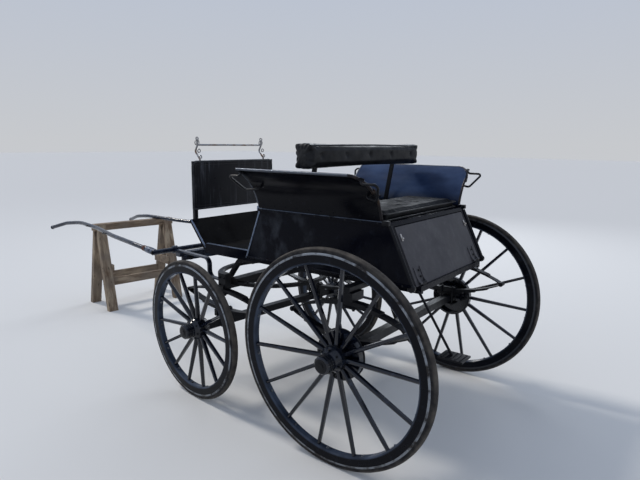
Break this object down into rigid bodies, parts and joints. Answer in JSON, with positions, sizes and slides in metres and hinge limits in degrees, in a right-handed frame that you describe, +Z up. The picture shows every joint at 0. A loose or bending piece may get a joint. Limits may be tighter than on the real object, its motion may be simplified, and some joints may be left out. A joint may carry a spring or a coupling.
{
  "type": "four-wheeled dog cart horse carriage",
  "caption": "Light four-wheeled horse carriage with back-to-back seats, dished spoked wheels, elliptic springs and shafts resting on a wooden trestle.",
  "frame": {"origin": "on the ground, at the middle of the whole object's bounding box", "axes": "+X towards the shafts' tips, +Y to the carriage's left, +Z up"},
  "size_m": [4.2257, 1.5956, 1.535],
  "materials": {
    "tyre": "dusty",
    "black_paint": "gloss",
    "steel": "satin",
    "iron": "satin",
    "painted_wood": "gloss",
    "grey_wood": "satin",
    "leather": "satin",
    "bare_wood": "matt"
  },
  "bodies": {
    "carriage": {"rear_axle": "iron", "rear_springs_lower": "iron", "rear_springs_upper": "iron", "rear_bearer": "painted_wood", "chassis_rails": "painted_wood", "body_floor": "painted_wood", "body_side_left": "painted_wood", "body_side_right": "painted_wood", "body_front": "painted_wood", "seat_deck": "painted_wood", "flare_left": "black_paint", "flare_right": "black_paint", "seat_cushion_rear": "leather", "seat_cushion_front": "leather", "back_rest": "leather", "back_irons": "iron", "foot_floor": "painted_wood", "toe_board": "painted_wood", "dashboard": "painted_wood", "rein_rail": "steel", "scroll_irons": "iron", "upper_fifth_wheel": "iron", "rear_step": "iron", "flare_handles": "iron", "trestle_beam": "bare_wood", "trestle_legs": "bare_wood", "trestle_braces": "bare_wood"},
    "tailboard": {"tailboard": "grey_wood"},
    "fore_carriage": {"front_axle": "iron", "front_springs_lower": "iron", "front_springs_upper": "iron", "lower_fifth_wheel": "iron", "king_pin": "iron", "draught_irons": "iron", "splinter_bar": "painted_wood"},
    "swingletree": {"swingletree": "painted_wood"},
    "shafts": {"shaft_bar": "iron", "shaft_left": "painted_wood", "shaft_right": "painted_wood"},
    "rear_wheel_left": {"rear_tyre_left": "tyre", "rear_rim_left": "black_paint", "rear_spokes_left": "painted_wood"},
    "rear_wheel_right": {"rear_tyre_right": "tyre", "rear_rim_right": "black_paint", "rear_spokes_right": "painted_wood"},
    "front_wheel_left": {"front_tyre_left": "tyre", "front_rim_left": "black_paint", "front_spokes_left": "painted_wood"},
    "front_wheel_right": {"front_tyre_right": "tyre", "front_rim_right": "black_paint", "front_spokes_right": "painted_wood"}
  },
  "joints": [
    {"name": "rear_wheel_left_spin", "type": "hinge", "parent": "carriage", "child": "rear_wheel_left", "pos_m": [-1.58286, 0.724, 0.52931], "axis": [0, 0.9986, -0.0523], "continuous": true},
    {"name": "rear_wheel_right_spin", "type": "hinge", "parent": "carriage", "child": "rear_wheel_right", "pos_m": [-1.58286, -0.724, 0.52931], "axis": [0, 0.9986, 0.0523], "continuous": true},
    {"name": "steering", "type": "hinge", "parent": "carriage", "child": "fore_carriage", "pos_m": [-0.59286, 0, 0.6], "axis": [0, 0, 1], "range_deg": [-29, 41]},
    {"name": "front_wheel_left_spin", "type": "hinge", "parent": "fore_carriage", "child": "front_wheel_left", "pos_m": [-0.52512, 0.64445, 0.41587], "axis": [0.1045, 0.9942, -0.0262], "continuous": true},
    {"name": "front_wheel_right_spin", "type": "hinge", "parent": "fore_carriage", "child": "front_wheel_right", "pos_m": [-0.66059, -0.64445, 0.41587], "axis": [0.1045, 0.9942, 0.0262], "continuous": true},
    {"name": "shafts_hinge", "type": "hinge", "parent": "fore_carriage", "child": "shafts", "pos_m": [0.0685, -0.06951, 0.757], "axis": [-0.1045, -0.9945, 0], "range_deg": [0, 80]},
    {"name": "swingletree_swivel", "type": "hinge", "parent": "fore_carriage", "child": "swingletree", "pos_m": [-0.01405, -0.06084, 0.7075], "axis": [0, 0, -1], "range_deg": [-20, 20]},
    {"name": "tailboard_hinge", "type": "hinge", "parent": "carriage", "child": "tailboard", "pos_m": [-1.83966, 0, 0.8615], "axis": [0, -1, 0], "range_deg": [0, 115]}
  ]
}
